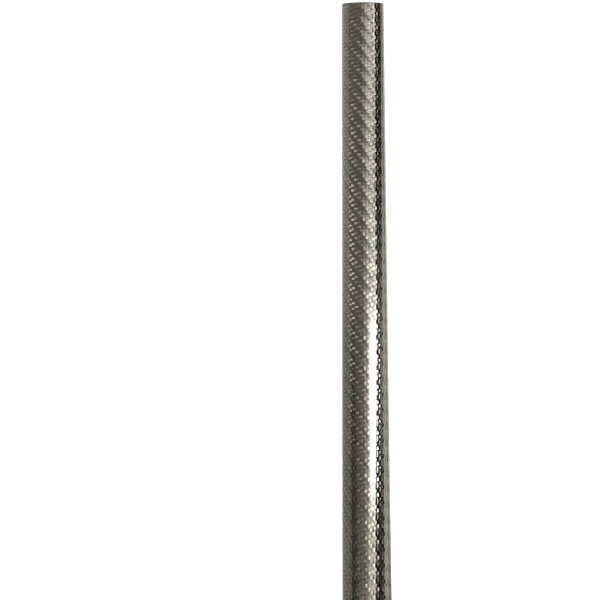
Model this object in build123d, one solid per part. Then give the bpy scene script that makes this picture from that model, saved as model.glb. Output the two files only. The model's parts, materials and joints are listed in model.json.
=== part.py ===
from build123d import *
import math
import os

# Butt section of a three-piece outrigger pole: one tapered laminate tube, hollow all the way through.
# It lies along +X on its tapered underside. The origin is on the tube's own axis at the butt end.
# All sizes are in millimetres.

# The parallel butt fits a holder's 38 mm socket.
pole_length = 1500.0
butt_diameter = 38.0
butt_length = 200.0
butt_wall = 2.0

# The thin end takes the next section's spigot in a parallel socket.
socket_diameter = 20.0
socket_depth = 80.0
thin_end_wall = 1.25

# Both cut ends are rounded outside and bevelled inside.
outer_easing = 0.45
inner_easing = 0.3

# Worked out from the sizes above
bore_diameter = butt_diameter - 2 * butt_wall
thin_end_diameter = socket_diameter + 2 * thin_end_wall
taper_length = pole_length - butt_length


def wall_profile():
    """Half section through the wall, as distance along the tube against radius."""
    outside = [
        (0, butt_diameter / 2),
        (butt_length, butt_diameter / 2),
        (pole_length, thin_end_diameter / 2),
    ]
    inside = [
        (pole_length, socket_diameter / 2),
        (pole_length - socket_depth, socket_diameter / 2),
        (butt_length, bore_diameter / 2),
        (0, bore_diameter / 2),
    ]
    return outside + inside


def end_rims(tube, butt_rim_diameter, thin_rim_diameter):
    """The edge of the given diameter at the butt end, and that of the other at the thin end."""
    wanted = {0: butt_rim_diameter, pole_length: thin_rim_diameter}
    circles = tube.edges().filter_by(GeomType.CIRCLE)
    return [
        rim
        for place, diameter in wanted.items()
        for rim in circles
        if abs(rim.center().X - place) < 1e-6 and abs(2 * rim.radius - diameter) < 1e-6
    ]


def make_tube():
    """The whole tube, turned from its wall profile, with its axis level along +X."""
    with BuildPart() as tube:
        with BuildSketch(Plane.XZ):
            with BuildLine():
                Polyline(wall_profile(), close=True)
            make_face()
        revolve(axis=Axis.X)
        fillet(end_rims(tube, butt_diameter, thin_end_diameter), radius=outer_easing)
        chamfer(end_rims(tube, bore_diameter, socket_diameter), length=inner_easing)
    return tube.part


def lay_down(tube):
    """Dips the thin end until the tapered underside is level, as the tube lies on a floor."""
    taper_drop = (butt_diameter - thin_end_diameter) / 2
    lie_angle = math.degrees(math.atan2(taper_drop, taper_length))
    return tube.rotate(Axis.Y, lie_angle)


os.makedirs("parts", exist_ok=True)
export_step(lay_down(make_tube()), "parts/pole_tube.step")
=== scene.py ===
"""Looks of one outrigger pole section: a tapered tube of clear-coated, twill-woven carbon laminate.

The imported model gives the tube's sizes through its mounts. This script builds the tube's finished surface
in the same place, dresses it, and sets a plain studio and a camera that looks down on the thin end.

Lengths are in metres, and the small ones are written as millimetres times MM. Angles round the pole count
from straight up towards -Y, which is the right-hand side of the picture.
"""

import json
import logging
import math
from dataclasses import dataclass
from enum import Enum
from typing import Any

import bpy
import numpy as np
from mathutils import Matrix


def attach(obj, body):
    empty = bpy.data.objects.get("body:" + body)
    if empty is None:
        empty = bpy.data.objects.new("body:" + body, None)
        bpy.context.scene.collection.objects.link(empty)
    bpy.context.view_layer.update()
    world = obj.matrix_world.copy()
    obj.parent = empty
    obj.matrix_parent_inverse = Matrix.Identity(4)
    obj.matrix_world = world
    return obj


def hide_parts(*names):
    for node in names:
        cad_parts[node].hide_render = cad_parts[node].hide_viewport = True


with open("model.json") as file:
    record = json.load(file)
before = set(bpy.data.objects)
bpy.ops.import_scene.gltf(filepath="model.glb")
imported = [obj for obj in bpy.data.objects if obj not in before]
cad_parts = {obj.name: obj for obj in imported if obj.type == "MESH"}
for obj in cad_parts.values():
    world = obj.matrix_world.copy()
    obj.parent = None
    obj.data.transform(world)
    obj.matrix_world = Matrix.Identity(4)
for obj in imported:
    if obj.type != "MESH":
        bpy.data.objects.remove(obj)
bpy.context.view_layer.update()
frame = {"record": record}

log = logging.getLogger("pole_section")

Material = bpy.types.Material
Object = bpy.types.Object
Socket = bpy.types.NodeSocket
Tree = bpy.types.NodeTree

# The value at which a change starts, and the one at which it is complete
Span = tuple[float, float]

# A distance along X, and the two angles between which a band spans there, in degrees
Station = tuple[float, float, float]

MM = 0.001
TOW_MAP = "tows"
SPREAD_MAP = "spread"
CLOUD_DETAIL = 2.0


def linear(colour: str) -> tuple[float, float, float, float]:
    """Turns an sRGB hex colour into linear red, green, blue and a full alpha.

    Args:
        colour: the colour as six hex digits after a hash mark.

    Returns:
        The four numbers that a colour socket takes.
    """
    parts = [int(colour[place:place + 2], 16) / 255 for place in (1, 3, 5)]
    red, green, blue = (p / 12.92 if p <= 0.04045 else ((p + 0.055) / 1.055) ** 2.4 for p in parts)
    return red, green, blue, 1.0


WHITE = linear("#ffffff")


def add_node(tree: Tree, kind: str, feeds: dict | None = None, **settings: Any) -> bpy.types.Node:
    """Adds one node to a tree, with its settings and what feeds its inputs.

    Args:
        tree: the node tree to add to.
        kind: the node's type name.
        feeds: what each input gets, by its name or number: an output socket to link, or a value.
        settings: the node's own properties.

    Returns:
        The new node.
    """
    node = tree.nodes.new(kind)
    for name, value in settings.items():
        setattr(node, name, value)
    for socket, source in (feeds or {}).items():
        if isinstance(source, Socket):
            tree.links.new(source, node.inputs[socket])
        else:
            node.inputs[socket].default_value = source
    return node


def new_material(name: str) -> Material:
    """Makes a material with an empty node tree.

    Args:
        name: the material's name.

    Returns:
        The new material.
    """
    material = bpy.data.materials.new(name)
    material.use_nodes = True
    material.node_tree.nodes.clear()
    return material


def carried_grid(name: str, points: np.ndarray) -> Object:
    """Makes an open surface from a grid of points and adds it to the scene.

    Args:
        name: the object's name.
        points: an array of rows by columns by three coordinates.

    Returns:
        The new object, at the origin, with a UV map that runs from 0 to 1 over the columns along U and over
        the rows along V.
    """
    rows, columns = points.shape[:2]
    corner = (np.arange(rows - 1)[:, None] * columns + np.arange(columns - 1)).ravel()
    faces = np.stack([corner, corner + 1, corner + columns + 1, corner + columns], axis=1)
    mesh = bpy.data.meshes.new(name)
    mesh.from_pydata(points.reshape(-1, 3).tolist(), [], faces.tolist())
    across, down = np.meshgrid(np.linspace(0, 1, columns), np.linspace(0, 1, rows))
    spread = np.stack([across.ravel(), down.ravel()], axis=1)[faces.ravel()]
    mesh.uv_layers.new(name=SPREAD_MAP).data.foreach_set("uv", spread.astype(np.float32).ravel())
    thing = bpy.data.objects.new(name, mesh)
    bpy.context.scene.collection.objects.link(thing)
    return thing


@dataclass(frozen=True)
class TubeSizes:
    """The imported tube's sizes, and the slope at which it lies in radians."""

    length: float
    butt_length: float
    butt_radius: float
    bore_radius: float
    socket_radius: float
    socket_depth: float
    lie: float

    @classmethod
    def from_record(cls, record: dict) -> "TubeSizes":
        """Reads the sizes from the record's mounts.

        Args:
            record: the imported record.

        Returns:
            The tube's sizes.
        """
        mounts = {mount["name"]: mount for mount in record["mounts"]}
        spigot, bore, socket = (mounts[name] for name in ("butt_spigot", "butt_bore", "thin_end_socket"))
        return cls(
            length=math.dist(spigot["pos_m"], socket["pos_m"]),
            butt_length=spigot["dims"]["length_mm"] * MM,
            butt_radius=spigot["dims"]["r_mm"] * MM,
            bore_radius=bore["dims"]["r_mm"] * MM,
            socket_radius=socket["dims"]["r_mm"] * MM,
            socket_depth=socket["dims"]["length_mm"] * MM,
            lie=math.atan2(spigot["axis"][2], -spigot["axis"][0]),
        )

    @property
    def thin_radius(self) -> float:
        """Outside radius at the thin end: the taper falls by the tangent of the lie."""
        return self.butt_radius - math.tan(self.lie) * (self.length - self.butt_length)

    @property
    def floor_height(self) -> float:
        """Height of the level line on which the tapered underside lies."""
        return -self.butt_radius * math.cos(self.lie) - self.butt_length * math.sin(self.lie)


class Face(Enum):
    """Which finish a stretch of the wall's outline takes. The value is its place in the mesh's materials."""

    OUTSIDE = 0
    CUT_END = 1
    BORE = 2


@dataclass(frozen=True)
class Stretch:
    """A run of the wall's outline with one finish: distances along the tube against radii."""

    face: Face
    along: np.ndarray
    radius: np.ndarray

    @property
    def walked(self) -> np.ndarray:
        """Distance along the outline from the stretch's start."""
        steps = np.hypot(np.diff(self.along), np.diff(self.radius))
        return np.concatenate([[0.0], np.cumsum(steps)])


@dataclass(frozen=True)
class Cloth:
    """The outer layer of 2/2 twill cloth, with its tow spacings.

    The rows lie closer at the thin end, where the cloth is drawn in, and open out along the tube. draw_in is
    the distance over which the difference falls to about a third.
    """

    column_pitch: float = 1.86 * MM
    end_pitch: float = 1.79 * MM
    body_pitch: float = 2.43 * MM
    draw_in: float = 0.5

    def rows(self, from_end: np.ndarray) -> np.ndarray:
        """Counts the rows between the thin end and a distance from it.

        The pitch is body - (body - end) * exp(-s / draw_in). The count is the integral of its inverse,
        s / body + draw_in / body * ln(pitch / end).

        Args:
            from_end: distances from the thin end.

        Returns:
            The count at each distance.
        """
        pitch = self.body_pitch - (self.body_pitch - self.end_pitch) * np.exp(-from_end / self.draw_in)
        return (from_end + self.draw_in * np.log(pitch / self.end_pitch)) / self.body_pitch

    def columns(self, radius: np.ndarray, turn: np.ndarray) -> np.ndarray:
        """Counts the columns from the top line to an angle: the arc length over the pitch."""
        return radius * turn / self.column_pitch


@dataclass(frozen=True)
class Weave:
    """Where a shaded point lies on the twill, as sockets of one node tree.

    u counts the columns. on_top is 1 where a lengthwise tow is on top, and 0 where a crosswise one is. t runs
    from -1 to 1 along the float, s from -1 to 1 across it, and t_size and s_size are the same without their
    signs. chance is a random number from 0 to 1 for each float.
    """

    u: Socket
    on_top: Socket
    t: Socket
    s: Socket
    t_size: Socket
    s_size: Socket
    chance: Socket


@dataclass(frozen=True)
class CarbonTwill:
    """Carbon fibre laminate: 3K tows woven 2/2, wetted out in epoxy and sprayed with gloss clear coat.

    The fibres are a dark, weak mirror that spreads light across the tow, so the lengthwise and the crosswise
    tows light up in different places. Through the epoxy they are grey-brown, in cloudy patches of two tones.
    The coat is a smooth, sharp mirror over them, but for a strip along the -Y side and for the whole lower +Y
    side, where it sagged before it set: there it stays level over the -Y half of each float and dips over the
    other half.
    """

    # The weave, counted in tows: it repeats after four, and a float passes over two
    repeat: float = 4.0
    float_length: float = 2.0

    # The fibres as a mirror. Seen at a slant it takes the edge colour. It is sharp along the tow and blurred
    # across it by the spread, whose direction is turned by a quarter on the crosswise tows.
    edge: str = "#5a5a5a"
    roughness: float = 0.26
    spread: float = 0.65
    quarter_turn: float = 0.25

    # Slopes of the tows. A float is flat up to the first share of its half length, and at its full dive from
    # the second.
    crown: float = 0.06
    dive: float = 0.325
    crosswise_dive: float = 0.21
    dive_span: Span = (0.3, 0.55)
    unevenness: float = 0.04

    # Tones. There are seven clouds to 100 mm. The crosswise tows are painted a little darker, which is
    # painted shade, and each float has a shade of its own. Over the outermost fifth of a float its tone goes
    # part of the way to the gap colour: dark resin gaps between the tows, and painted shade where a float
    # dives under the next tow.
    brown: str = "#5e5851"
    olive: str = "#58584e"
    cloud_size: float = 100 * MM / 7
    cloud_span: Span = (0.42, 0.6)
    crosswise_painted_shade: float = 0.92
    shades: Span = (0.94, 1.06)
    gap_and_shade: str = "#2b2622"
    gap_and_shade_share: float = 0.2
    gap_and_shade_span: Span = (0.8, 1.0)

    # The clear coat. The last three say at which column it is still level, and at which it is fully sagged.
    coat_roughness: float = 0.03
    epoxy_index: float = 1.56
    coat_dip: float = 0.42
    dip_fade: Span = (1.0, 0.3)
    inner_sag: Span = (1.6, 3.4)
    outer_sag: Span = (6.8, 5.4)
    lower_sag: Span = (-4.0, -5.2)

    def weave(self, tree: Tree) -> Weave:
        """Finds where a point lies on the twill, from the UV map that counts columns and rows.

        A lengthwise tow is on top where (row - column) modulo 4 is under 2, which steps the floats one row
        down for each column to the side.

        Args:
            tree: the material's node tree.

        Returns:
            The sockets that say where the point lies.
        """
        tows = add_node(tree, "ShaderNodeUVMap", uv_map=TOW_MAP)
        split = add_node(tree, "ShaderNodeSeparateXYZ", {0: tows.outputs[0]})
        u, v = split.outputs["X"], split.outputs["Y"]
        column, row = (
            add_node(tree, "ShaderNodeMath", {0: count}, operation="FLOOR").outputs[0] for count in (u, v)
        )
        step = add_node(tree, "ShaderNodeMath", {0: row, 1: column}, operation="SUBTRACT").outputs[0]
        place = add_node(tree, "ShaderNodeMath", {0: step, 1: self.repeat}, operation="FLOORED_MODULO")
        on_top = add_node(tree, "ShaderNodeMath", {0: place.outputs[0], 1: self.float_length - 0.5},
                          operation="LESS_THAN").outputs[0]

        # How far the point is along the float that is on top, and across it
        tow, run, side, start = (
            add_node(tree, "ShaderNodeMix", {"Factor": on_top, "A": crosswise, "B": lengthwise}).outputs[0]
            for crosswise, lengthwise in ((row, column), (u, v), (v, u), (-1.0, 0.0))
        )
        ahead = add_node(tree, "ShaderNodeMath", {0: run, 1: tow}, operation="SUBTRACT").outputs[0]
        ahead = add_node(tree, "ShaderNodeMath", {0: ahead, 1: start}, operation="ADD").outputs[0]
        on_float = add_node(tree, "ShaderNodeMath", {0: ahead, 1: self.repeat}, operation="FLOORED_MODULO")
        t = add_node(tree, "ShaderNodeMath", {0: on_float.outputs[0], 1: self.float_length / 2},
                     operation="SUBTRACT").outputs[0]
        part = add_node(tree, "ShaderNodeMath", {0: side}, operation="FRACT").outputs[0]
        s = add_node(tree, "ShaderNodeMath", {0: part, 1: 2.0, 2: -1.0}, operation="MULTIPLY_ADD").outputs[0]
        t_size, s_size = (
            add_node(tree, "ShaderNodeMath", {0: way}, operation="ABSOLUTE").outputs[0] for way in (t, s)
        )

        # A float's own number: its tow, its place along the tow, and its direction
        turns = add_node(tree, "ShaderNodeMath", {0: ahead, 1: 1 / self.repeat}, operation="MULTIPLY")
        count = add_node(tree, "ShaderNodeMath", {0: turns.outputs[0]}, operation="FLOOR").outputs[0]
        number = add_node(tree, "ShaderNodeCombineXYZ", {"X": tow, "Y": count, "Z": on_top}).outputs[0]
        chance = add_node(tree, "ShaderNodeTexWhiteNoise", {"Vector": number}, noise_dimensions="3D")
        return Weave(u, on_top, t, s, t_size, s_size, chance.outputs["Value"])

    def tow_slopes(self, tree: Tree, weave: Weave) -> tuple[Socket, Socket]:
        """Works out the slopes of the tow that is on top.

        It slopes by crown * s across itself. Along itself it is flat at its middle and falls off at both ends
        by the dive slope of its direction. Each float also leans a little at random.

        Args:
            tree: the material's node tree.
            weave: where the point lies on the twill.

        Returns:
            The slopes along U and V.
        """
        on_top = weave.on_top
        bend = add_node(tree, "ShaderNodeMapRange", {
            "Value": weave.t_size, "From Min": self.dive_span[0], "From Max": self.dive_span[1],
        }, interpolation_type="SMOOTHSTEP").outputs[0]
        to_end = add_node(tree, "ShaderNodeMath", {0: weave.t}, operation="SIGN").outputs[0]
        bend = add_node(tree, "ShaderNodeMath", {0: bend, 1: to_end}, operation="MULTIPLY").outputs[0]
        dive = add_node(tree, "ShaderNodeMix", {"Factor": on_top, "A": self.crosswise_dive, "B": self.dive})
        lean = add_node(tree, "ShaderNodeMapRange", {"Value": weave.chance, "To Min": -self.unevenness,
                                                     "To Max": self.unevenness}).outputs[0]
        along = add_node(tree, "ShaderNodeMath", {0: bend, 1: dive.outputs[0], 2: lean},
                         operation="MULTIPLY_ADD").outputs[0]
        across = add_node(tree, "ShaderNodeMath", {0: weave.s, 1: self.crown},
                          operation="MULTIPLY").outputs[0]
        slope_u, slope_v = (
            add_node(tree, "ShaderNodeMix", {"Factor": on_top, "A": crosswise, "B": lengthwise}).outputs[0]
            for crosswise, lengthwise in ((along, across), (across, along))
        )
        return slope_u, slope_v

    def coat_slope(self, tree: Tree, weave: Weave) -> Socket:
        """Works out the slope of the clear coat along U.

        The dip grows from each float's middle line to its edge, and fades out at the float's two ends along
        the pole. It is there only between the inner and the outer sag, and past the lower one.

        Args:
            tree: the material's node tree.
            weave: where the point lies on the twill.

        Returns:
            The slope along U. The coat is level along V.
        """
        on_top = weave.on_top
        around, along_pole = (
            add_node(tree, "ShaderNodeMix", {"Factor": on_top, "A": crosswise, "B": lengthwise}).outputs[0]
            for crosswise, lengthwise in ((weave.t, weave.s), (weave.s_size, weave.t_size))
        )
        fade = add_node(tree, "ShaderNodeMapRange", {
            "Value": along_pole, "From Min": self.dip_fade[0], "From Max": self.dip_fade[1],
        }, interpolation_type="SMOOTHSTEP").outputs[0]
        flank = add_node(tree, "ShaderNodeMath", {0: around, 1: 0.0}, operation="MINIMUM").outputs[0]
        dip = add_node(tree, "ShaderNodeMath", {0: flank, 1: fade}, operation="MULTIPLY").outputs[0]
        inner, outer, lower = (
            add_node(tree, "ShaderNodeMapRange", {"Value": weave.u, "From Min": level, "From Max": sagged},
                     interpolation_type="SMOOTHSTEP").outputs[0]
            for level, sagged in (self.inner_sag, self.outer_sag, self.lower_sag)
        )
        strip = add_node(tree, "ShaderNodeMath", {0: inner, 1: outer}, operation="MULTIPLY").outputs[0]
        sag = add_node(tree, "ShaderNodeMath", {0: strip, 1: lower}, operation="MAXIMUM").outputs[0]
        dip = add_node(tree, "ShaderNodeMath", {0: dip, 1: sag}, operation="MULTIPLY").outputs[0]
        return add_node(tree, "ShaderNodeMath", {0: dip, 1: self.coat_dip}, operation="MULTIPLY").outputs[0]

    def facing(self, tree: Tree, slope_u: Socket, slope_v: Socket | float) -> Socket:
        """Turns two slopes into the direction that the surface faces.

        The direction (slope_u, slope_v, 1) is made one long, and packed from -1 to 1 into 0 to 1, as in a
        normal map.

        Args:
            tree: the material's node tree.
            slope_u: the slope along U.
            slope_v: the slope along V.

        Returns:
            The direction, for a shader's normal.
        """
        tilt = add_node(tree, "ShaderNodeCombineXYZ", {"X": slope_u, "Y": slope_v, "Z": 1.0}).outputs[0]
        unit = add_node(tree, "ShaderNodeVectorMath", {0: tilt}, operation="NORMALIZE").outputs[0]
        half = (0.5, 0.5, 0.5)
        packed = add_node(tree, "ShaderNodeVectorMath", {0: unit, 1: half, 2: half}, operation="MULTIPLY_ADD")
        return add_node(tree, "ShaderNodeNormalMap", {"Color": packed.outputs[0]}, space="TANGENT",
                        uv_map=TOW_MAP).outputs[0]

    def tone(self, tree: Tree, weave: Weave) -> Socket:
        """Mixes the fibres' colour: cloudy patches, a shade for each float, crosswise tows painted darker as
        shade, and float rims darkened for the resin gaps and as painted shade.

        Args:
            tree: the material's node tree.
            weave: where the point lies on the twill.

        Returns:
            The colour.
        """
        place = add_node(tree, "ShaderNodeTexCoord").outputs["Object"]
        cloud = add_node(tree, "ShaderNodeTexNoise", {"Vector": place, "Scale": 1 / self.cloud_size,
                                                      "Detail": CLOUD_DETAIL}).outputs[0]
        patch = add_node(tree, "ShaderNodeMapRange", {
            "Value": cloud, "From Min": self.cloud_span[0], "From Max": self.cloud_span[1],
        }, interpolation_type="SMOOTHSTEP").outputs[0]
        tone = add_node(tree, "ShaderNodeMix", {"Factor": patch, "A": linear(self.brown),
                                                "B": linear(self.olive)}, data_type="RGBA").outputs["Result"]
        # Painted shade: the crosswise tows are the same fibre as the lengthwise ones, painted a little darker
        # for how the light falls on them.
        share = add_node(tree, "ShaderNodeMix", {"Factor": weave.on_top, "A": self.crosswise_painted_shade,
                                                 "B": 1.0}).outputs[0]
        shade = add_node(tree, "ShaderNodeMapRange", {"Value": weave.chance, "To Min": self.shades[0],
                                                      "To Max": self.shades[1]}).outputs[0]
        share = add_node(tree, "ShaderNodeMath", {0: share, 1: shade}, operation="MULTIPLY").outputs[0]
        tone = add_node(tree, "ShaderNodeVectorMath", {0: tone, "Scale": share}, operation="SCALE").outputs[0]
        # Resin gaps and painted shade: towards each float's rim the tone goes to the gap colour, for the gaps
        # between tows and for the shade where the float dives under the next tow.
        rim = add_node(tree, "ShaderNodeMath", {0: weave.t_size, 1: weave.s_size}, operation="MAXIMUM")
        gap_and_shade = add_node(tree, "ShaderNodeMapRange", {
            "Value": rim.outputs[0], "From Min": self.gap_and_shade_span[0], "From Max": self.gap_and_shade_span[1],
            "To Max": self.gap_and_shade_share,
        }, interpolation_type="SMOOTHSTEP").outputs[0]
        return add_node(tree, "ShaderNodeMix", {"Factor": gap_and_shade, "A": tone, "B": linear(self.gap_and_shade)},
                        data_type="RGBA").outputs["Result"]

    def material(self) -> Material:
        """Makes the material. Its UV map counts the tows: columns along U and rows along V.

        Returns:
            The finished material.
        """
        material = new_material("clear_coated_carbon_twill")
        tree = material.node_tree
        weave = self.weave(tree)
        quarter = self.quarter_turn
        turn = add_node(tree, "ShaderNodeMath", {0: weave.on_top, 1: -quarter, 2: quarter},
                        operation="MULTIPLY_ADD").outputs[0]
        tangent = add_node(tree, "ShaderNodeTangent", direction_type="UV_MAP", uv_map=TOW_MAP).outputs[0]
        shader = add_node(tree, "ShaderNodeBsdfPrincipled", {
            "Base Color": self.tone(tree, weave),
            "Metallic": 1.0,
            "Roughness": self.roughness,
            "Normal": self.facing(tree, *self.tow_slopes(tree, weave)),
            "Specular Tint": linear(self.edge),
            "Anisotropic": self.spread,
            "Anisotropic Rotation": turn,
            "Tangent": tangent,
            "Coat Weight": 1.0,
            "Coat Roughness": self.coat_roughness,
            "Coat IOR": self.epoxy_index,
            "Coat Normal": self.facing(tree, self.coat_slope(tree, weave), 0.0),
        })
        add_node(tree, "ShaderNodeOutputMaterial", {"Surface": shader.outputs[0]})
        return material


@dataclass(frozen=True)
class SawnLaminate:
    """The cut ends: laminate sawn square, so its plies show as fine dull rings with resin lines between.

    Saw dust sits in the grain as lighter specks, and the blade left faint marks across the face.
    """

    # The plies. A resin line is gone at the first share of a ply from its middle, and solid at the second.
    fibre: str = "#2f2d2b"
    resin: str = "#4d4740"
    ply: float = 0.22 * MM
    line_span: Span = (0.2, 0.05)

    # The specks
    dust: str = "#6b665f"
    speck_size: float = 0.3125 * MM
    speck_span: Span = (0.52, 0.75)
    speck_share: float = 0.6

    # The saw marks. They are longer than wide by the stretch.
    saw_pitch: float = 0.35 * MM
    mark_stretch: float = 20.0
    mark_detail: float = 1.0
    mark_depth: float = 0.02 * MM

    roughness: float = 0.6

    def material(self) -> Material:
        """Makes the material. Its UV map holds arc length along U and radius along V, in millimetres.

        The radius over the ply thickness counts the plies. A resin line lies where the count is close to a
        whole number. The saw marks are noise that is drawn out along Y.

        Returns:
            The finished material.
        """
        material = new_material("sawn_carbon_laminate")
        tree = material.node_tree
        map_of_face = add_node(tree, "ShaderNodeUVMap", uv_map=TOW_MAP).outputs[0]
        radius = add_node(tree, "ShaderNodeSeparateXYZ", {0: map_of_face}).outputs["Y"]
        plies = add_node(tree, "ShaderNodeMath", {0: radius, 1: MM / self.ply}, operation="MULTIPLY")
        to_line = add_node(tree, "ShaderNodeMath", {0: plies.outputs[0], 1: 0.5},
                           operation="PINGPONG").outputs[0]
        line = add_node(tree, "ShaderNodeMapRange", {
            "Value": to_line, "From Min": self.line_span[0], "From Max": self.line_span[1],
        }, interpolation_type="SMOOTHSTEP").outputs[0]
        place = add_node(tree, "ShaderNodeTexCoord").outputs["Object"]
        grain = add_node(tree, "ShaderNodeTexNoise", {"Vector": place, "Scale": 1 / self.speck_size,
                                                      "Detail": CLOUD_DETAIL}).outputs[0]
        speck = add_node(tree, "ShaderNodeMapRange", {
            "Value": grain, "From Min": self.speck_span[0], "From Max": self.speck_span[1],
            "To Max": self.speck_share,
        }).outputs[0]
        tone = add_node(tree, "ShaderNodeMix", {"Factor": line, "A": linear(self.fibre),
                                                "B": linear(self.resin)}, data_type="RGBA").outputs["Result"]
        tone = add_node(tree, "ShaderNodeMix", {"Factor": speck, "A": tone, "B": linear(self.dust)},
                        data_type="RGBA").outputs["Result"]
        across_marks = (0.0, 1 / (self.mark_stretch * self.saw_pitch), 1 / self.saw_pitch)
        drawn_out = add_node(tree, "ShaderNodeVectorMath", {0: place, 1: across_marks}, operation="MULTIPLY")
        marks = add_node(tree, "ShaderNodeTexNoise", {"Vector": drawn_out.outputs[0], "Scale": 1.0,
                                                      "Detail": self.mark_detail}).outputs[0]
        relief = add_node(tree, "ShaderNodeBump", {"Height": marks, "Distance": self.mark_depth}).outputs[0]
        shader = add_node(tree, "ShaderNodeBsdfPrincipled", {
            "Base Color": tone,
            "Roughness": self.roughness,
            "Normal": relief,
        })
        add_node(tree, "ShaderNodeOutputMaterial", {"Surface": shader.outputs[0]})
        return material


@dataclass(frozen=True)
class MandrelSide:
    """The bore: epoxy-rich laminate cured against a polished mandrel, so it is dark and satin.

    Drawing the mandrel out left faint lengthwise marks that are a little glossier than the rest.
    """

    # Cloudy patches, three to 50 mm, where the fibres show more or less through the resin
    resin: str = "#232120"
    fibre: str = "#302d2a"
    cloud_size: float = 50 * MM / 3
    cloud_span: Span = (0.4, 0.6)

    # The marks
    mark_width: float = 1.1 * MM
    mark_length: float = 90 * MM
    mark_span: Span = (0.35, 0.65)
    glossy: float = 0.27
    satin: float = 0.42

    def material(self) -> Material:
        """Makes the material from noise over Object coordinates, drawn out along X for the marks.

        Returns:
            The finished material.
        """
        material = new_material("mandrel_side_epoxy")
        tree = material.node_tree
        place = add_node(tree, "ShaderNodeTexCoord").outputs["Object"]
        along_marks = (1 / self.mark_length, 1 / self.mark_width, 1 / self.mark_width)
        drawn_out = add_node(tree, "ShaderNodeVectorMath", {0: place, 1: along_marks}, operation="MULTIPLY")
        marks = add_node(tree, "ShaderNodeTexNoise", {"Vector": drawn_out.outputs[0], "Scale": 1.0,
                                                      "Detail": CLOUD_DETAIL}).outputs[0]
        roughness = add_node(tree, "ShaderNodeMapRange", {
            "Value": marks, "From Min": self.mark_span[0], "From Max": self.mark_span[1],
            "To Min": self.glossy, "To Max": self.satin,
        }).outputs[0]
        cloud = add_node(tree, "ShaderNodeTexNoise", {"Vector": place, "Scale": 1 / self.cloud_size,
                                                      "Detail": CLOUD_DETAIL}).outputs[0]
        patch = add_node(tree, "ShaderNodeMapRange", {
            "Value": cloud, "From Min": self.cloud_span[0], "From Max": self.cloud_span[1],
        }, interpolation_type="SMOOTHSTEP").outputs[0]
        tone = add_node(tree, "ShaderNodeMix", {"Factor": patch, "A": linear(self.resin),
                                                "B": linear(self.fibre)}, data_type="RGBA").outputs["Result"]
        shader = add_node(tree, "ShaderNodeBsdfPrincipled", {"Base Color": tone, "Roughness": roughness})
        add_node(tree, "ShaderNodeOutputMaterial", {"Surface": shader.outputs[0]})
        return material


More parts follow.
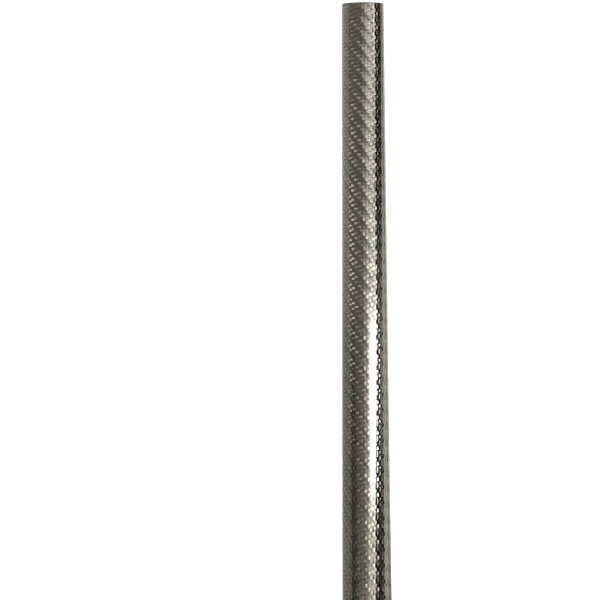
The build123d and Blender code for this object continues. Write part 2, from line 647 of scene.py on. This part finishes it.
@dataclass(frozen=True)
class PoleTube:
    """The tube's finished surface: the wall's closed outline carried round the tilted axis."""

    sizes: TubeSizes
    cloth: Cloth
    outer_easing: float = 0.45 * MM
    inner_easing: float = 0.3 * MM
    rings: int = 320
    bore_rings: int = 60
    sides: int = 160
    easing_steps: int = 5
    sharp_angle: float = math.radians(35)

    def rim(self, cut_face: float, inwards: float, radius: float) -> np.ndarray:
        """Gives a rounded rim as a quarter circle from the outside to the cut face.

        With a from 0 to a quarter turn, the distance is cut_face + inwards * easing * (1 - sin(a)), and the
        radius is radius - easing * (1 - cos(a)).

        Args:
            cut_face: distance of the cut face along the tube.
            inwards: 1 where the tube runs on from the face to larger distances, and -1 at the other end.
            radius: the tube's outside radius there.

        Returns:
            Two rows: distance along the tube, and radius.
        """
        angle = np.linspace(0, math.pi / 2, self.easing_steps + 1)
        along = cut_face + inwards * self.outer_easing * (1 - np.sin(angle))
        return np.stack([along, radius - self.outer_easing * (1 - np.cos(angle))])

    def outline(self) -> list[Stretch]:
        """Gives the wall's outline, along the outside from the butt and back through the bore.

        Returns:
            The stretches in order. Each starts where the one before it ends, and the last one ends where
            the first starts.
        """
        s, bevel = self.sizes, self.inner_easing
        butt_rim, thin_rim = self.rim(0, 1, s.butt_radius)[:, ::-1], self.rim(s.length, -1, s.thin_radius)
        marks = np.linspace(self.outer_easing, s.length - self.outer_easing, self.rings)
        along = np.unique(np.append(marks[1:-1], s.butt_length))
        radius = np.interp(along, [s.butt_length, s.length], [s.butt_radius, s.thin_radius])
        outside = np.hstack([butt_rim, np.stack([along, radius]), thin_rim])

        corners = [0, s.butt_length, s.length - s.socket_depth, s.length]
        radii = [s.bore_radius, s.bore_radius, s.socket_radius, s.socket_radius]
        marks = np.linspace(bevel, s.length - bevel, self.bore_rings)
        back = np.unique(np.concatenate([marks, corners[1:3]]))[::-1]
        thin_face = np.array([
            [s.length, s.length, s.length - bevel],
            [s.thin_radius - self.outer_easing, s.socket_radius + bevel, s.socket_radius],
        ])
        butt_face = np.array([
            [bevel, 0, 0],
            [s.bore_radius, s.bore_radius + bevel, s.butt_radius - self.outer_easing],
        ])
        return [
            Stretch(Face.OUTSIDE, *outside),
            Stretch(Face.CUT_END, *thin_face),
            Stretch(Face.BORE, back, np.interp(back, corners, radii)),
            Stretch(Face.CUT_END, *butt_face),
        ]

    def carried(self, along: np.ndarray, radius: np.ndarray, turn: np.ndarray) -> np.ndarray:
        """Carries an outline round the axis.

        A point is the axis point at its distance, plus the radius times the cosine of the turn along the
        upright that is square to the axis, plus the radius times the sine of the turn towards -Y.

        Args:
            along: distances along the tube, one for each ring.
            radius: radii, one for each ring.
            turn: angles from the top line, one for each side.

        Returns:
            The points, rings by sides by three.
        """
        axis = np.array([math.cos(self.sizes.lie), 0, -math.sin(self.sizes.lie)])
        upright = np.array([math.sin(self.sizes.lie), 0, math.cos(self.sizes.lie)])
        spoke = np.cos(turn)[:, None] * upright + np.sin(turn)[:, None] * np.array([0, -1, 0])
        return along[:, None, None] * axis + radius[:, None, None] * spoke

    def pattern(self, stretch: Stretch, turn: np.ndarray) -> np.ndarray:
        """Gives a stretch's UV coordinates on its rings and turns.

        Args:
            stretch: the stretch of the outline.
            turn: angles from the top line, with both ends of the seam.

        Returns:
            The coordinates, rings by turns by two: in tows on the outside, and in millimetres elsewhere.
        """
        radius = stretch.radius[:, None]
        if stretch.face is Face.OUTSIDE:
            from_end = stretch.walked[-1] - stretch.walked
            u, v = self.cloth.columns(radius, turn), self.cloth.rows(from_end)
        elif stretch.face is Face.CUT_END:
            u, v = radius * turn / MM, stretch.radius / MM
        else:
            u, v = radius * turn / MM, stretch.along / MM
        return np.stack([u, np.broadcast_to(v[:, None], u.shape)], axis=2)

    def build(self) -> Object:
        """Builds the closed mesh, dresses it and puts it in the CAD tube's place.

        Returns:
            The finished piece.
        """
        stretches = self.outline()
        turn = np.linspace(-math.pi, math.pi, self.sides + 1)
        along = np.concatenate([stretch.along[:-1] for stretch in stretches])
        radius = np.concatenate([stretch.radius[:-1] for stretch in stretches])
        points = self.carried(along, radius, turn[:-1]).reshape(-1, 3)
        ring, side = np.meshgrid(np.arange(len(along)), np.arange(self.sides), indexing="ij")
        next_ring, next_side = (ring + 1) % len(along), (side + 1) % self.sides
        corners = [(ring, side), (ring, next_side), (next_ring, next_side), (next_ring, side)]
        faces = np.stack([r * self.sides + c for r, c in corners], axis=2).reshape(-1, 4)
        patterns, finishes = [], []
        for stretch in stretches:
            uv = self.pattern(stretch, turn)
            quads = np.stack([uv[:-1, :-1], uv[:-1, 1:], uv[1:, 1:], uv[1:, :-1]], axis=2)
            patterns.append(quads.reshape(-1, 2))
            finishes.append(np.full(quads.shape[0] * quads.shape[1], stretch.face.value, np.int32))

        mesh = bpy.data.meshes.new("pole_tube_laminate")
        mesh.from_pydata(points.tolist(), [], faces.tolist())
        uv_map = mesh.uv_layers.new(name=TOW_MAP)
        uv_map.data.foreach_set("uv", np.concatenate(patterns).astype(np.float32).ravel())
        for finish in (CarbonTwill(), SawnLaminate(), MandrelSide()):
            mesh.materials.append(finish.material())
        mesh.polygons.foreach_set("material_index", np.concatenate(finishes))
        mesh.shade_smooth()
        mesh.set_sharp_from_angle(angle=self.sharp_angle)
        mesh.update()
        piece = bpy.data.objects.new("pole_tube_laminate", mesh)
        bpy.context.scene.collection.objects.link(piece)
        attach(piece, "root")
        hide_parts("pole_tube")
        return piece


@dataclass(frozen=True)
class WhiteFloor:
    """A floor of white paper that renders white and keeps the pole's soft shadow.

    The paper is a plain matt grey to the light. To the camera, and in what is mirrored or seen through, it
    glows by the lift that takes it to white.
    """

    reach: float = 40.0
    grey: str = "#dadada"
    lift: float = 0.75

    def paper(self) -> Material:
        """Makes the floor's material.

        Returns:
            The finished material.
        """
        material = new_material("white_paper_floor")
        tree = material.node_tree
        path = add_node(tree, "ShaderNodeLightPath").outputs
        seen = add_node(tree, "ShaderNodeMath", {0: path["Is Camera Ray"], 1: path["Is Glossy Ray"]},
                        operation="MAXIMUM").outputs[0]
        seen = add_node(tree, "ShaderNodeMath", {0: seen, 1: path["Is Transmission Ray"]},
                        operation="MAXIMUM").outputs[0]
        lift = add_node(tree, "ShaderNodeMath", {0: seen, 1: self.lift}, operation="MULTIPLY").outputs[0]
        paper = add_node(tree, "ShaderNodeBsdfDiffuse", {"Color": linear(self.grey)})
        glow = add_node(tree, "ShaderNodeEmission", {"Color": WHITE, "Strength": lift})
        both = add_node(tree, "ShaderNodeAddShader", {0: paper.outputs[0], 1: glow.outputs[0]})
        add_node(tree, "ShaderNodeOutputMaterial", {"Surface": both.outputs[0]})
        return material

    def build(self, height: float) -> None:
        """Lays the floor, a level square of corners (-reach, -reach) to (reach, reach).

        Args:
            height: the floor's height.
        """
        x, y = np.meshgrid([-self.reach, self.reach], [-self.reach, self.reach])
        floor = carried_grid("floor", np.stack([x, y, np.full(x.shape, height)], axis=2))
        floor.data.materials.append(self.paper())


@dataclass(frozen=True)
class PlainRoom:
    """Even, slightly warm light from all round, with white behind the floor's edge."""

    tint: str = "#fff5ed"
    strength: float = 0.44

    def build(self) -> None:
        """Makes the world and sets it as the scene's."""
        world = bpy.data.worlds.new("plain_room")
        world.use_nodes = True
        tree = world.node_tree
        tree.nodes.clear()
        path = add_node(tree, "ShaderNodeLightPath")
        room = add_node(tree, "ShaderNodeBackground", {"Color": linear(self.tint), "Strength": self.strength})
        white = add_node(tree, "ShaderNodeBackground", {"Color": WHITE, "Strength": 1.0})
        seen = add_node(tree, "ShaderNodeMixShader", {0: path.outputs["Is Camera Ray"], 1: room.outputs[0],
                                                      2: white.outputs[0]})
        add_node(tree, "ShaderNodeOutputWorld", {"Surface": seen.outputs[0]})
        bpy.context.scene.world = world


@dataclass(frozen=True)
class Band:
    """A card or lamp carried along the pole at a distance from it, seen only in what the pole reflects.

    The stations stand at rising distances along X.
    """

    name: str
    reach: float
    stations: tuple[Station, ...]
    steps: int = 40

    def build(self, lie: float) -> Object:
        """Builds the band. A point is (x, -reach * sin(angle), reach * cos(angle) - x * tan(lie)).

        Args:
            lie: the slope of the tube's axis, which the band follows.

        Returns:
            The band, with a UV map that runs from its first angle to its last along U.
        """
        marks, first, last = np.array(self.stations).T
        x = np.linspace(marks[0], marks[-1], 4 * self.steps)
        share = np.linspace(0, 1, self.steps)
        start, end = np.interp(x, marks, first)[:, None], np.interp(x, marks, last)[:, None]
        angle = np.radians(start + (end - start) * share)
        along = np.broadcast_to(x[:, None], angle.shape)
        height = self.reach * np.cos(angle) - along * math.tan(lie)
        band = carried_grid(self.name, np.stack([along, -self.reach * np.sin(angle), height], axis=2))
        band.visible_camera = False
        band.visible_shadow = False
        return band


@dataclass(frozen=True)
class Softbox:
    """A long softbox that hangs over the -Y side.

    It brightens from its inner edge outwards. It has a very bright core beside the middle of the picture, and
    a bright hem along its outer edge, which the dips in the coat mirror as a row of glints.
    """

    reach: float = 0.8
    stations: tuple[Station, ...] = (
        (-0.5, -4, 34), (1.18, -4, 36), (1.25, -10, 45), (1.3, -16, 52),
        (1.337, -16, 54), (1.4, -11, 53), (1.48, -10, 61), (1.9, -10, 63),
    )
    tint: str = "#fffdfa"

    # Strengths of its cloth, which is as bright as the room at its inner edge, and what core and hem add
    inner_edge: float = 0.44
    body: float = 2.8
    core: float = 20.0
    hem: float = 10.0

    # Shares of its width over which the cloth, the core and the hem brighten
    body_span: Span = (0.0, 0.58)
    core_span: Span = (0.43, 0.6)
    hem_span: Span = (0.9, 0.93)

    # Distances along X over which the core comes in from the butt's side, and from the thin end's
    core_rise: Span = (1.2, 1.25)
    core_fall: Span = (1.37, 1.32)

    def lit_cloth(self) -> Material:
        """Makes the softbox's glowing cloth.

        Its strength is the ramp from the inner edge to the body, plus the hem, plus the core times its rise,
        its fall and its share of the width.

        Returns:
            The finished material.
        """
        material = new_material("softbox_cloth")
        tree = material.node_tree
        place = add_node(tree, "ShaderNodeTexCoord").outputs["Object"]
        x = add_node(tree, "ShaderNodeSeparateXYZ", {0: place}).outputs["X"]
        spread = add_node(tree, "ShaderNodeUVMap", uv_map=SPREAD_MAP).outputs[0]
        u = add_node(tree, "ShaderNodeSeparateXYZ", {0: spread}).outputs["X"]
        rise, fall, inner = (
            add_node(tree, "ShaderNodeMapRange", {"Value": value, "From Min": start, "From Max": full},
                     interpolation_type="SMOOTHSTEP").outputs[0]
            for value, (start, full) in ((x, self.core_rise), (x, self.core_fall), (u, self.core_span))
        )
        bump = add_node(tree, "ShaderNodeMath", {0: rise, 1: fall}, operation="MULTIPLY").outputs[0]
        core = add_node(tree, "ShaderNodeMath", {0: bump, 1: inner}, operation="MULTIPLY").outputs[0]
        ramp = add_node(tree, "ShaderNodeMapRange", {
            "Value": u, "From Min": self.body_span[0], "From Max": self.body_span[1],
            "To Min": self.inner_edge, "To Max": self.body,
        }, interpolation_type="SMOOTHSTEP").outputs[0]
        hem = add_node(tree, "ShaderNodeMapRange", {"Value": u, "From Min": self.hem_span[0],
                                                    "From Max": self.hem_span[1]}).outputs[0]
        edged = add_node(tree, "ShaderNodeMath", {0: hem, 1: self.hem, 2: ramp},
                         operation="MULTIPLY_ADD").outputs[0]
        strength = add_node(tree, "ShaderNodeMath", {0: core, 1: self.core, 2: edged},
                            operation="MULTIPLY_ADD").outputs[0]
        glow = add_node(tree, "ShaderNodeEmission", {"Color": linear(self.tint), "Strength": strength})
        add_node(tree, "ShaderNodeOutputMaterial", {"Surface": glow.outputs[0]})
        return material

    def build(self, lie: float) -> None:
        """Hangs the softbox along the pole, whose axis slopes by the lie."""
        Band("softbox", self.reach, self.stations).build(lie).data.materials.append(self.lit_cloth())


@dataclass(frozen=True)
class SideLamp:
    """One lamp of an arc across the pole, beside the picture.

    It stands so far along the pole that only the ends of the floats mirror it towards the camera. It fades
    out at either side over a share of its depth along X.
    """

    name: str
    place: Span
    angles: Span
    strength: float
    reach: float = 0.8
    fade: Span = (0.0, 0.3)

    def lit_cloth(self) -> Material:
        """Makes the lamp's glowing cloth.

        Returns:
            The finished material.
        """
        material = new_material(self.name)
        tree = material.node_tree
        spread = add_node(tree, "ShaderNodeUVMap", uv_map=SPREAD_MAP).outputs[0]
        along = add_node(tree, "ShaderNodeSeparateXYZ", {0: spread}).outputs["Y"]
        to_end = add_node(tree, "ShaderNodeMath", {0: along, 1: 0.5}, operation="PINGPONG").outputs[0]
        level = add_node(tree, "ShaderNodeMapRange", {
            "Value": to_end, "From Min": self.fade[0], "From Max": self.fade[1], "To Max": self.strength,
        }, interpolation_type="SMOOTHSTEP").outputs[0]
        glow = add_node(tree, "ShaderNodeEmission", {"Color": WHITE, "Strength": level})
        add_node(tree, "ShaderNodeOutputMaterial", {"Surface": glow.outputs[0]})
        return material

    def build(self, lie: float) -> None:
        """Hangs the lamp across the pole, whose axis slopes by the lie."""
        stations = tuple((x, *self.angles) for x in self.place)
        Band(self.name, self.reach, stations).build(lie).data.materials.append(self.lit_cloth())


@dataclass(frozen=True)
class BlackFlag:
    """A black cloth that stands close beside the pole, and that the pole mirrors as a dark streak."""

    band: Band
    stray_light: float
    black: str = "#0d0d0d"

    def cloth(self) -> Material:
        """Makes the flag's cloth, matt black with a little stray light on it.

        Returns:
            The finished material.
        """
        material = new_material(self.band.name + "_black_cloth")
        tree = material.node_tree
        glow = add_node(tree, "ShaderNodeEmission", {"Color": WHITE, "Strength": self.stray_light})
        cloth = add_node(tree, "ShaderNodeBsdfDiffuse", {"Color": linear(self.black)})
        both = add_node(tree, "ShaderNodeAddShader", {0: cloth.outputs[0], 1: glow.outputs[0]})
        add_node(tree, "ShaderNodeOutputMaterial", {"Surface": both.outputs[0]})
        return material

    def build(self, lie: float) -> None:
        """Stands the flag beside the pole.

        Args:
            lie: the slope of the tube's axis, which the flag follows.
        """
        flag = self.band.build(lie)
        flag.visible_diffuse = False
        flag.data.materials.append(self.cloth())


@dataclass(frozen=True)
class PaperStrip:
    """A strip of grey paper on the floor beside the pole, seen only in what the pole reflects.

    It lies between two distances along Y. Its glow goes from dull to bright over a stretch along X.
    """

    name: str
    edges: Span
    tint: str
    dull: float
    bright: float
    glow_span: Span
    ends: Span = (-0.5, 1.9)
    above_floor: float = 0.5 * MM

    def paper(self) -> Material:
        """Makes the strip's paper.

        Returns:
            The finished material.
        """
        material = new_material(self.name)
        tree = material.node_tree
        place = add_node(tree, "ShaderNodeTexCoord").outputs["Object"]
        x = add_node(tree, "ShaderNodeSeparateXYZ", {0: place}).outputs["X"]
        level = add_node(tree, "ShaderNodeMapRange", {
            "Value": x, "From Min": self.glow_span[0], "From Max": self.glow_span[1],
            "To Min": self.dull, "To Max": self.bright,
        }, interpolation_type="SMOOTHSTEP").outputs[0]
        glow = add_node(tree, "ShaderNodeEmission", {"Color": linear(self.tint), "Strength": level})
        add_node(tree, "ShaderNodeOutputMaterial", {"Surface": glow.outputs[0]})
        return material

    def build(self, floor_height: float) -> None:
        """Lays the strip, a level rectangle between its ends along X and its edges along Y.

        Args:
            floor_height: the height of the floor under it.
        """
        x, y = np.meshgrid(self.ends, self.edges)
        height = np.full(x.shape, floor_height + self.above_floor)
        strip = carried_grid(self.name, np.stack([x, y, height], axis=2))
        strip.visible_camera = strip.visible_shadow = strip.visible_diffuse = False
        strip.data.materials.append(self.paper())


@dataclass(frozen=True)
class Studio:
    """The pole's surroundings, which are mostly there for it to mirror.

    The lamps' arcs are brighter near the floor on the +Y side. The low flag is mirrored as the dark edge
    along the softbox. The high flag is mirrored as the dark streak on the pole's left side, which ends where
    the flag does. Of the paper strips, the one nearest to the pole on the -Y side is much brighter than the
    others near the thin end, which gives the pole's rim there its soft light edge.
    """

    sizes: TubeSizes
    floor: WhiteFloor = WhiteFloor()
    room: PlainRoom = PlainRoom()
    softbox: Softbox = Softbox()
    lamps: tuple[SideLamp, ...] = (
        SideLamp("butt_side_low_lamp", (0.86, 1.08), (-91, -62), 8.625),
        SideLamp("butt_side_high_lamp", (0.86, 1.08), (-62, 91), 3.75),
        SideLamp("thin_side_low_lamp", (1.72, 1.88), (-91, -62), 10.35),
        SideLamp("thin_side_high_lamp", (1.72, 1.88), (-62, 91), 4.5),
    )
    flags: tuple[BlackFlag, ...] = (
        BlackFlag(Band("low_flag", 0.037, (
            (-0.1, 27, 74), (1.18, 28, 75), (1.25, 37, 74), (1.3, 43, 66),
            (1.337, 45, 76), (1.4, 44, 86), (1.48, 52, 94), (1.6, 54, 96),
        )), 0.0),
        BlackFlag(Band("high_flag", 0.045, (
            (-0.1, -69, -42), (1.24, -69, -42), (1.29, -65, -45), (1.335, -58, -52),
        )), 0.04),
    )
    strips: tuple[PaperStrip, ...] = (
        PaperStrip("left_paper_strip", (0.013, 1.0), "#fbf5f3", 0.74, 1.12, (1.28, 1.42)),
        PaperStrip("right_paper_strip", (-0.045, -0.033), "#f8f3e4", 0.8, 0.95, (1.28, 1.42)),
        PaperStrip("rim_paper_strip", (-0.033, -0.007), "#f8f3e4", 0.8, 2.5, (1.16, 1.28)),
    )

    def build(self) -> None:
        """Sets up the whole studio around the pole as it lies."""
        self.floor.build(self.sizes.floor_height)
        self.room.build()
        for piece in (self.softbox, *self.lamps, *self.flags):
            piece.build(self.sizes.lie)
        for strip in self.strips:
            strip.build(self.sizes.floor_height)


@dataclass(frozen=True)
class LookingDown:
    """The camera: straight above the thin end, with +X up the image and -Y to its right.

    field is the width that the image shows at the pole's axis. aim is the point in its middle. roll turns
    the pole's left edge upright in the image.
    """

    distance: float = 2.5
    field: float = 0.3155
    aim: tuple[float, float] = (1.3437, 0.0343)
    roll: float = math.radians(-0.4)
    sensor: float = 36.0
    nearest: float = 0.01
    furthest: float = 200.0

    def build(self) -> Object:
        """Makes the camera and sets it as the scene's.

        Returns:
            The camera.
        """
        data = bpy.data.cameras.new("looking_down")
        data.sensor_width = self.sensor
        data.lens = self.sensor * self.distance / self.field
        data.clip_start, data.clip_end = self.nearest, self.furthest
        camera = bpy.data.objects.new("looking_down", data)
        bpy.context.scene.collection.objects.link(camera)
        turned = Matrix(((0, 1, 0), (-1, 0, 0), (0, 0, 1))).to_4x4() @ Matrix.Rotation(self.roll, 4, "Z")
        camera.matrix_world = Matrix.Translation((*self.aim, self.distance)) @ turned
        bpy.context.scene.camera = camera
        return camera


def main() -> None:
    """Builds the pole, its studio and the camera, and reports each."""
    logging.basicConfig(level=logging.INFO, format="%(name)s: %(message)s")
    bpy.context.scene.view_settings.view_transform = "Standard"
    sizes = TubeSizes.from_record(frame["record"])
    camera = LookingDown().build()
    log.info("camera %s with a %.0f mm lens", camera.name, camera.data.lens)
    tube = PoleTube(sizes, Cloth()).build()
    log.info("%s with %d faces, %.4f m long", tube.name, len(tube.data.polygons), sizes.length)
    Studio(sizes).build()
    log.info("studio with its floor at %.4f m", sizes.floor_height)


if __name__ == "__main__":
    main()
